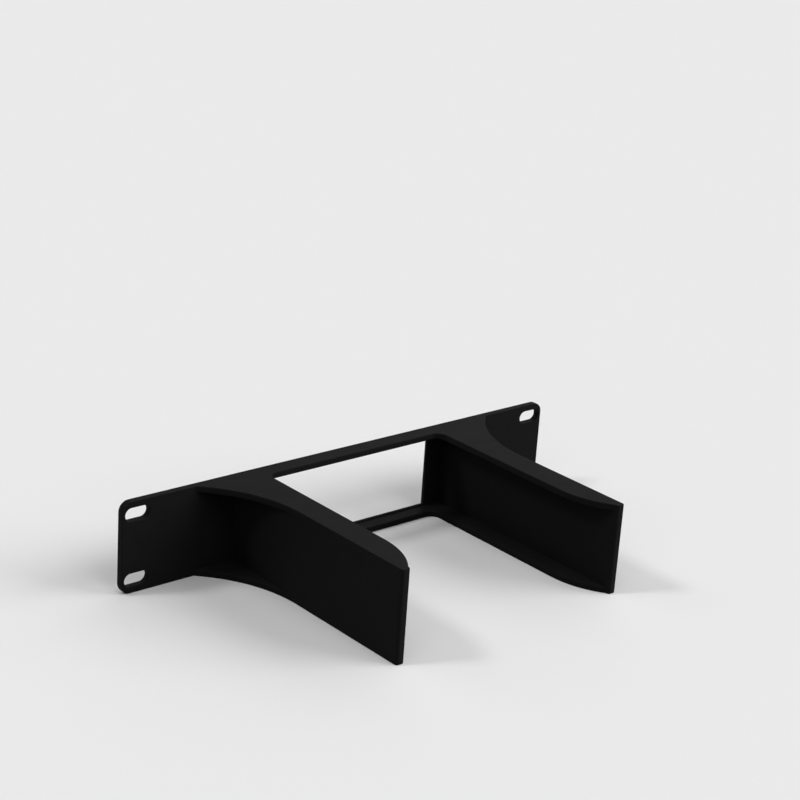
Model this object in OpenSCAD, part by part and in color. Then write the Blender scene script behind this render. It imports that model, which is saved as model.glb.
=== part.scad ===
// Rack mount bracket: a slotted front panel with two channel arms that carry a
// small appliance behind a window. Printed in one piece.
//
// Frame, in millimetres: X runs along the panel, Y runs back into the rack and
// Z is up. The origin is the centre of the slot pattern, on the rear face of
// the ears, which is the face that lies against the rack posts.

/* [Panel] */
// Width of the panel, ear end to ear end
panel_w = 254; // [246:0.5:300]
// Height of the panel and of the arms, one rack unit
panel_h = 44.45; // [40:0.05:60]
// Thickness of the panel at the ears
panel_t = 3.6; // [2.6:0.1:8]
// Radius of the panel's four corners
panel_corner_r = 5; // [0.5:0.5:15]

/* [Rack slots] */
// Distance from an ear's end to the middle of its slots
slot_inset = 8.1; // [7.5:0.1:12]
// Height between the upper and the lower slots, middle to middle
slot_rise = 31.75; // [20:0.05:32]
// Length of a slot over its round ends
slot_len = 12.8; // [8:0.1:14]
// Width of a slot
slot_w = 6.4; // [4:0.1:7]

/* [Device bay] */
// Clear width between the arms' side walls
bay_w = 123.3; // [110:0.1:130]
// Thickness of an arm's side wall
wall_t = 4.6; // [3.4:0.1:8]
// Thickness of the flanges along the top and the bottom
flange_t = 3; // [1.5:0.1:6]
// Reach of a flange inward from the side wall
flange_reach = 9.35; // [6:0.05:14]
// Length of the arms behind the panel
arm_len = 118.2; // [90:0.1:180]

/* [Window and lip] */
// Thickness of the lip that stops the appliance
lip_t = 2; // [1:0.1:2.4]
// Width of the lip beside the window
lip_side = 10.45; // [5:0.05:16]
// Height of the lip above and below the window
lip_rise = 0.65; // [0.2:0.05:4]

/* [Bridges] */
// Depth of the strips that join the arms' flanges, behind the panel
bridge_reach = 5.4; // [3:0.1:12]
// Radius where a strip turns into an arm
bridge_corner_r = 5; // [1:0.5:12]

/* [Flares] */
// Length of an arm's outer flare, from the panel
flare_len = 48.4; // [30:0.1:60]
// Spread of a flare along the panel, past the side wall
flare_spread = 21.8; // [10:0.1:26]

/* [Arm tips] */
// Length of the curve that brings a flange out to the side wall
tip_curve_len = 26.3; // [12:0.1:34]
// Bare stretch of the side wall past that curve, before the end corners
tip_land = 0.4; // [0.2:0.1:4]
// Radius of the side wall's end corners
tip_corner_r = 1.5; // [0.5:0.1:1.6]

/* [Hidden] */
$fn = 180;

// How far a cut runs past the face that it opens
overrun = 5;

slot_x = panel_w / 2 - slot_inset;
slot_r = slot_w / 2;
bay_h = panel_h - 2 * flange_t;
wall_in = bay_w / 2;
wall_out = wall_in + wall_t;
flange_in = wall_in - flange_reach;
window_w = bay_w - 2 * lip_side;
window_h = bay_h - 2 * lip_rise;
tip_start = arm_len - tip_corner_r;

// Radius of an arc that leaves a straight edge tangentially and has moved
// `side` away from it after `run` along it
function arc_r(run, side) = (run * run + side * side) / (2 * side);

// Rectangle with round corners, centred
module rounded_rect(w, h, r) {
    square([w - 2 * r, h], center = true);
    square([w, h - 2 * r], center = true);
    for (x = [-1, 1], y = [-1, 1])
        translate([x * (w / 2 - r), y * (h / 2 - r)]) circle(r);
}

// Turns an outline drawn in X and Z to stand across the panel, from y = from
// to y = to
module across(from, to) {
    translate([0, to, 0]) rotate([90, 0, 0]) linear_extrude(to - from) children();
}

// Plan of one side wall, its free end rounded at both corners
module wall_plan() {
    translate([wall_in, 0]) square([wall_t, tip_start]);
    translate([wall_in + tip_corner_r, 0])
        square([wall_t - 2 * tip_corner_r, arm_len]);
    for (x = [wall_in + tip_corner_r, wall_out - tip_corner_r])
        translate([x, tip_start]) circle(tip_corner_r);
}

// Plan of one arm's flange: a straight strip whose inner edge curves out to
// the side wall near the tip. It reaches halfway into the wall, so that the
// two join.
module flange_plan() {
    r = arc_r(tip_curve_len, flange_reach);
    strip_w = flange_reach + wall_t / 2;
    curve_start = tip_start - tip_land - tip_curve_len;
    translate([flange_in, 0]) square([strip_w, curve_start]);
    intersection() {
        translate([flange_in, curve_start]) square([strip_w, tip_curve_len + tip_land / 2]);
        translate([flange_in + r, curve_start]) circle(r);
    }
}

// Plan of one flare: it spreads from the side wall to the panel in a hollow
// arc. It reaches halfway into both, so that they join.
module flare_plan() {
    r = arc_r(flare_len, flare_spread);
    difference() {
        translate([wall_out - wall_t / 2, -panel_t / 2])
            square([wall_t / 2 + flare_spread + panel_t, panel_t / 2 + flare_len]);
        translate([wall_out + r, flare_len]) circle(r);
    }
}

// Plan of half a bridge strip, with the rounded corner to the arm
module bridge_plan() {
    square([flange_in, bridge_reach]);
    difference() {
        translate([flange_in - bridge_corner_r, bridge_reach])
            square(bridge_corner_r);
        translate([flange_in - bridge_corner_r, bridge_reach + bridge_corner_r])
            circle(bridge_corner_r);
    }
}

// Everything behind the panel as one block of full height, before the bay and
// the pockets are cut
module frame_block() {
    translate([0, 0, -panel_h / 2]) linear_extrude(panel_h)
        for (side = [0, 1]) mirror([side, 0]) {
            wall_plan();
            flange_plan();
            flare_plan();
            bridge_plan();
        }
}

// Space for the appliance, open at the back and stopped by the lip in front
module bay_cut() {
    across(lip_t - panel_t, arm_len + overrun) square([bay_w, bay_h], center = true);
}

// Opening of the window through the lip
module window_cut() {
    across(-panel_t - overrun, overrun) square([window_w, window_h], center = true);
}

// Space between the upper and the lower flare, outside one side wall
module pocket_cut() {
    translate([wall_out, 0, -bay_h / 2])
        cube([flare_spread + overrun, flare_len + overrun, bay_h]);
}

// The four mounting slots
module slot_cuts() {
    for (x = [-slot_x, slot_x], z = [-slot_rise / 2, slot_rise / 2])
        translate([x, 0, z]) across(-panel_t - overrun, overrun) {
            square([slot_len - slot_w, slot_w], center = true);
            for (end = [-1, 1])
                translate([end * (slot_len / 2 - slot_r), 0]) circle(slot_r);
        }
}

module bracket() {
    color("#1d1d1f") difference() {
        union() {
            across(-panel_t, 0) rounded_rect(panel_w, panel_h, panel_corner_r);
            frame_block();
        }
        bay_cut();
        window_cut();
        for (side = [0, 1]) mirror([side, 0, 0]) pocket_cut();
        slot_cuts();
    }
}

bracket();
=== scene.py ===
"""Looks of the rack mount bracket: matte black printed plastic on a pale studio floor.

Everything is in metres, in the frame of the CAD part: X along the panel, Y back into the
rack and Z up.
"""

import math

import bmesh
import bpy
from mathutils import Matrix, Vector


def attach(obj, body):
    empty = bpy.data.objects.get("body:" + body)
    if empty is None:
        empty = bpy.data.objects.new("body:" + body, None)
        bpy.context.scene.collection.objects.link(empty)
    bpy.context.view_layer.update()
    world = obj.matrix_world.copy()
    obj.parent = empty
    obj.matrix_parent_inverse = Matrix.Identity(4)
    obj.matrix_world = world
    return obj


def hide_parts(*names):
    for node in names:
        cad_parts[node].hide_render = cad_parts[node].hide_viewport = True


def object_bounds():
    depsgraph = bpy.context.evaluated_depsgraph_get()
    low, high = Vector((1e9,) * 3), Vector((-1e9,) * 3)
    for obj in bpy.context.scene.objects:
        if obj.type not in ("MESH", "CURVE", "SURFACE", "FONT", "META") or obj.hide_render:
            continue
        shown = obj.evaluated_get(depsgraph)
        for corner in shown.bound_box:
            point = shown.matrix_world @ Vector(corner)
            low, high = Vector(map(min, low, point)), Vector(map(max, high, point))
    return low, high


# Camera: it looks from behind the panel, past the left arm, down at the bay. Angles are in
# degrees, the azimuth from +X towards +Y.
CAMERA_AIM = Vector((-0.00163, 0.03199, 0.05703))
CAMERA_DISTANCE = 0.9146
CAMERA_AZIMUTH = 48.593
CAMERA_ELEVATION = 20.043
CAMERA_ROLL = -3.936
CAMERA_LENS_MM = 89.648
CAMERA_CLIP = (0.01, 50)

# Bracket: its outer edges are slightly rounded, and its inner corners stay crisp
EDGE_ROUND = 0.0004
EDGE_SEGMENTS = 3
SHARP_ANGLE = math.radians(30)
FLAT_ANGLE = math.radians(0.5)
WELD = 1e-6
FLATNESS_WEIGHT = 100

# Plastic: faint clouds in colour and gloss, and a fine grain in relief
CLOUDS_PER_METRE = 90
CLOUD_DETAIL = 3
CLOUD_RANGE = (0.3, 0.7)
DARK_PLASTIC = (0.0082, 0.0082, 0.0085, 1)
LIGHT_PLASTIC = (0.0096, 0.0096, 0.0100, 1)
ROUGHNESS = (0.64, 0.72)
SPECULAR = 0.05
GRAIN_PER_METRE = 2600
GRAIN_DETAIL = 2
GRAIN_DEPTH = 0.00002
GRAIN_STRENGTH = 0.25

# Floor: the colour that the camera and glossy rays see, and the one for bounced light
FLOOR_SIZE = 12.0
FLOOR_SEEN = (0.82, 0.82, 0.82, 1.0)
FLOOR_BOUNCE = (0.08, 0.08, 0.08, 1.0)

# Lamps: name, azimuth, elevation and apparent size in degrees, and strength, where 1 from
# straight above lights the floor at its own colour
LAMPS = (
    ("key", -27, 50, 12, 0.23),
    ("overhead", 0, 82, 40, 0.13),
    ("left", 138, 28, 40, 0.63),
    ("front_left", 180, 33, 38, 0.12),
    ("behind", 90, 45, 30, 0.21),
    ("front", -140, 22, 50, 0.18),
    ("front_right", -60, 35, 35, 0.07),
    ("near", 30, 30, 40, 0.11),
)
DOME = 0.03


def direction(azimuth, elevation):
    """Unit vector towards the given angles in degrees."""
    azimuth, elevation = math.radians(azimuth), math.radians(elevation)
    return Vector(
        (
            math.cos(elevation) * math.cos(azimuth),
            math.cos(elevation) * math.sin(azimuth),
            math.sin(elevation),
        )
    )


def place_camera():
    """Puts the camera at its angles round the point that it aims at."""
    away = direction(CAMERA_AZIMUTH, CAMERA_ELEVATION)
    right = Vector((0, 0, 1)).cross(away).normalized()
    up = away.cross(right)
    level = Matrix((right, up, away)).transposed().to_4x4()
    data = bpy.data.cameras.new("camera")
    data.lens = CAMERA_LENS_MM
    data.clip_start, data.clip_end = CAMERA_CLIP
    camera = bpy.data.objects.new("camera", data)
    bpy.context.scene.collection.objects.link(camera)
    camera.matrix_world = (
        Matrix.Translation(CAMERA_AIM + away * CAMERA_DISTANCE)
        @ level
        @ Matrix.Rotation(math.radians(-CAMERA_ROLL), 4, "Z")
    )
    bpy.context.scene.camera = camera


def noise(nodes, links, coordinates, per_metre, detail):
    """Noise with about the given number of grains in a metre."""
    texture = nodes.new("ShaderNodeTexNoise")
    texture.inputs["Scale"].default_value = per_metre
    texture.inputs["Detail"].default_value = detail
    links.new(coordinates, texture.inputs["Vector"])
    return texture.outputs["Fac"]


def spread(nodes, links, clouds, low, high):
    """Maps the clouds' usual range to the one from low to high."""
    mapping = nodes.new("ShaderNodeMapRange")
    mapping.inputs["From Min"].default_value = CLOUD_RANGE[0]
    mapping.inputs["From Max"].default_value = CLOUD_RANGE[1]
    mapping.inputs["To Min"].default_value = low
    mapping.inputs["To Max"].default_value = high
    links.new(clouds, mapping.inputs["Value"])
    return mapping.outputs["Result"]


def black_plastic():
    """Matte black plastic, worked out from the place on the bracket."""
    material = bpy.data.materials.new("black_plastic")
    material.use_nodes = True
    nodes, links = material.node_tree.nodes, material.node_tree.links
    shader = nodes["Principled BSDF"]
    shader.inputs["Specular IOR Level"].default_value = SPECULAR
    place = nodes.new("ShaderNodeTexCoord").outputs["Object"]

    clouds = noise(nodes, links, place, CLOUDS_PER_METRE, CLOUD_DETAIL)
    tint = nodes.new("ShaderNodeValToRGB")
    stops = zip(tint.color_ramp.elements, CLOUD_RANGE, (DARK_PLASTIC, LIGHT_PLASTIC))
    for stop, position, colour in stops:
        stop.position, stop.color = position, colour
    links.new(clouds, tint.inputs["Fac"])
    links.new(tint.outputs["Color"], shader.inputs["Base Color"])
    links.new(spread(nodes, links, clouds, *ROUGHNESS), shader.inputs["Roughness"])

    bump = nodes.new("ShaderNodeBump")
    bump.inputs["Strength"].default_value = GRAIN_STRENGTH
    bump.inputs["Distance"].default_value = GRAIN_DEPTH
    grain = noise(nodes, links, place, GRAIN_PER_METRE, GRAIN_DETAIL)
    links.new(grain, bump.inputs["Height"])
    links.new(bump.outputs["Normal"], shader.inputs["Normal"])
    return material


def soften_edges(node, name, low, high):
    """A copy of a CAD node, inside the box from low to high, with rounded outer edges."""
    form = bmesh.new()
    form.from_mesh(node.data)
    for face in form.faces:
        face.smooth = True
    bmesh.ops.remove_doubles(form, verts=form.verts, dist=WELD)
    bmesh.ops.dissolve_limit(
        form, angle_limit=FLAT_ANGLE, verts=form.verts, edges=form.edges
    )
    form.normal_update()
    share = form.edges.layers.float.new("bevel_weight_edge")
    for edge in form.edges:
        sharp = edge.calc_face_angle(0) > SHARP_ANGLE
        edge[share] = float(sharp and edge.is_convex)
        edge.smooth = not sharp or edge.is_convex
    mesh = bpy.data.meshes.new(name)
    form.to_mesh(mesh)
    form.free()

    piece = bpy.data.objects.new(name, mesh)
    bpy.context.scene.collection.objects.link(piece)
    piece.matrix_world = node.matrix_world.copy()
    edges = piece.modifiers.new("edges", "BEVEL")
    edges.width = EDGE_ROUND
    edges.segments = EDGE_SEGMENTS
    edges.limit_method = "WEIGHT"
    edges.use_clamp_overlap = False
    edges.loop_slide = False
    flat = piece.modifiers.new("flat_faces", "WEIGHTED_NORMAL")
    flat.mode = "FACE_AREA"
    flat.weight = FLATNESS_WEIGHT
    flat.keep_sharp = True
    bpy.context.view_layer.objects.active = piece
    for modifier in ("edges", "flat_faces"):
        bpy.ops.object.modifier_apply(modifier=modifier)
    for vertex in mesh.vertices:
        for axis in range(3):
            vertex.co[axis] = min(max(vertex.co[axis], low[axis]), high[axis])
    return piece


def make_floor(height):
    """Pale floor that keeps the shadows and throws little light back at the bracket."""
    material = bpy.data.materials.new("floor")
    material.use_nodes = True
    nodes, links = material.node_tree.nodes, material.node_tree.links
    shader = nodes["Principled BSDF"]
    ray = nodes.new("ShaderNodeLightPath")
    seen = nodes.new("ShaderNodeMath")
    seen.operation = "MAXIMUM"
    links.new(ray.outputs["Is Camera Ray"], seen.inputs[0])
    links.new(ray.outputs["Is Glossy Ray"], seen.inputs[1])
    colour = nodes.new("ShaderNodeMixRGB")
    colour.inputs["Color1"].default_value = FLOOR_BOUNCE
    colour.inputs["Color2"].default_value = FLOOR_SEEN
    links.new(seen.outputs["Value"], colour.inputs["Fac"])
    links.new(colour.outputs["Color"], shader.inputs["Base Color"])
    shader.inputs["Roughness"].default_value = 1.0
    shader.inputs["Specular IOR Level"].default_value = 0.0
    bpy.ops.mesh.primitive_plane_add(size=FLOOR_SIZE, location=(0, 0, height))
    floor = bpy.context.object
    floor.name = "floor"
    floor.data.materials.append(material)


def light_studio():
    """A faint even dome and the soft lamps."""
    world = bpy.data.worlds.new("studio")
    bpy.context.scene.world = world
    world.use_nodes = True
    background = world.node_tree.nodes["Background"]
    background.inputs["Color"].default_value = (1, 1, 1, 1)
    background.inputs["Strength"].default_value = DOME
    for name, azimuth, elevation, size, strength in LAMPS:
        data = bpy.data.lights.new(name, "SUN")
        data.energy = math.pi * strength
        data.angle = math.radians(size)
        lamp = bpy.data.objects.new(name, data)
        bpy.context.scene.collection.objects.link(lamp)
        towards = direction(azimuth, elevation)
        lamp.rotation_euler = towards.to_track_quat("Z", "Y").to_euler()


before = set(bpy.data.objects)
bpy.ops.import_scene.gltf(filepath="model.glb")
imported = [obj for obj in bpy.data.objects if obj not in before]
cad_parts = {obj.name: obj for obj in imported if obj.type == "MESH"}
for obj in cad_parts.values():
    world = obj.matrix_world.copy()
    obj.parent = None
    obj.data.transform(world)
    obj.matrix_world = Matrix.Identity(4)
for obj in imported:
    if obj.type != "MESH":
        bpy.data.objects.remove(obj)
cad_low, cad_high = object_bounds()

bracket = soften_edges(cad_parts["bracket"], "bracket_soft", cad_low, cad_high)
bracket.data.materials.clear()
bracket.data.materials.append(black_plastic())
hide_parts("bracket")
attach(bracket, "root")
make_floor(cad_low.z)
light_studio()
place_camera()
bpy.context.scene.view_settings.view_transform = "Standard"
